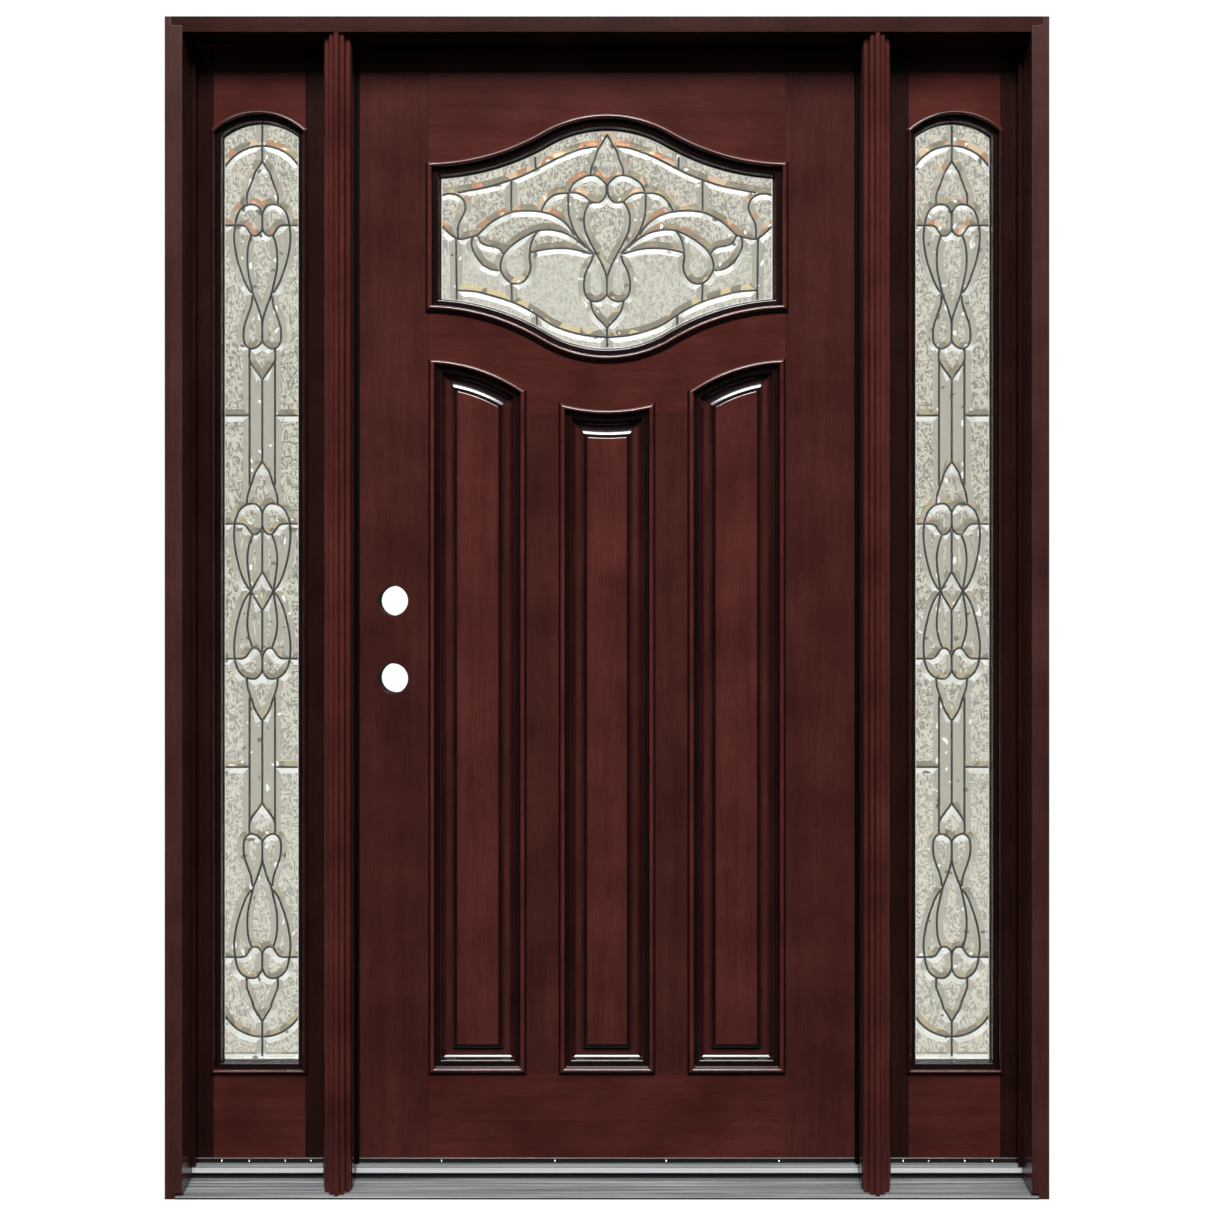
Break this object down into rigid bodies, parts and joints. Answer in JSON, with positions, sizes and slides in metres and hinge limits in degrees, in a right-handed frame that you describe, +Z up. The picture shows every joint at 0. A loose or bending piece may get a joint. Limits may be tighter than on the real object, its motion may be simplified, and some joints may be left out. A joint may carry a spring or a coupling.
{
  "type": "entry door with sidelights",
  "caption": "Raised-panel wooden entry door under an ogee-arched leaded lite, hinged between two leaded sidelights in one frame with reeded mullions and an aluminium sill.",
  "frame": {"origin": "middle of the sill's underside, at mid depth of the frame", "axes": "+X to the right as seen from outside, +Y into the house, +Z up; the outside faces -Y"},
  "size_m": [1.544, 0.1285, 2.065],
  "materials": {
    "mahogany": "dark stain under satin lacquer",
    "glass_unit": "clear, bevelled and glue-chipped, in dark lead",
    "mill_aluminium": "mill finish, ribbed",
    "bright_aluminium": "bright",
    "dark_bronze": "satin dark bronze",
    "aged_brass": "antique satin",
    "black_rubber": "matt"
  },
  "bodies": {
    "frame": {"jamb_left": "mahogany", "mullion_post_left": "mahogany", "mullion_cover_left": "mahogany", "sidelight_stop_side_left": "mahogany", "sidelight_stop_top_left": "mahogany", "riser_sidelight_left": "bright_aluminium", "jamb_right": "mahogany", "mullion_post_right": "mahogany", "mullion_cover_right": "mahogany", "sidelight_stop_side_right": "mahogany", "sidelight_stop_top_right": "mahogany", "riser_sidelight_right": "bright_aluminium", "head_jamb": "mahogany", "weatherstrip": "black_rubber", "sill": "mill_aluminium", "riser_door": "bright_aluminium", "sidelight_left_stile_inner": "mahogany", "sidelight_left_stile_outer": "mahogany", "sidelight_left_top_rail": "mahogany", "sidelight_left_bottom_rail": "mahogany", "sidelight_left_glass": "glass_unit", "sidelight_left_moulding_front": "mahogany", "sidelight_left_moulding_back": "mahogany", "sidelight_left_shoe": "dark_bronze", "sidelight_right_stile_inner": "mahogany", "sidelight_right_stile_outer": "mahogany", "sidelight_right_top_rail": "mahogany", "sidelight_right_bottom_rail": "mahogany", "sidelight_right_glass": "glass_unit", "sidelight_right_moulding_front": "mahogany", "sidelight_right_moulding_back": "mahogany", "sidelight_right_shoe": "dark_bronze", "hinge_bottom_frame_leaf": "aged_brass", "hinge_middle_frame_leaf": "aged_brass", "hinge_top_frame_leaf": "aged_brass"},
    "door": {"lock_stile": "mahogany", "hinge_stile": "mahogany", "top_rail": "mahogany", "lock_rail": "mahogany", "bottom_rail": "mahogany", "muntin_left": "mahogany", "muntin_right": "mahogany", "panel_left": "mahogany", "panel_moulding_front_left": "mahogany", "panel_moulding_back_left": "mahogany", "panel_centre": "mahogany", "panel_moulding_front_centre": "mahogany", "panel_moulding_back_centre": "mahogany", "panel_right": "mahogany", "panel_moulding_front_right": "mahogany", "panel_moulding_back_right": "mahogany", "lite_moulding_front": "mahogany", "lite_moulding_back": "mahogany", "door_glass": "glass_unit", "door_shoe": "dark_bronze", "hinge_bottom_door_leaf": "aged_brass", "hinge_middle_door_leaf": "aged_brass", "hinge_top_door_leaf": "aged_brass"}
  },
  "joints": [
    {"name": "door_swing", "type": "hinge", "parent": "frame", "child": "door", "pos_m": [0.4555, 0.0645, 1], "axis": [0, 0, -1], "range_deg": [0, 120]}
  ]
}
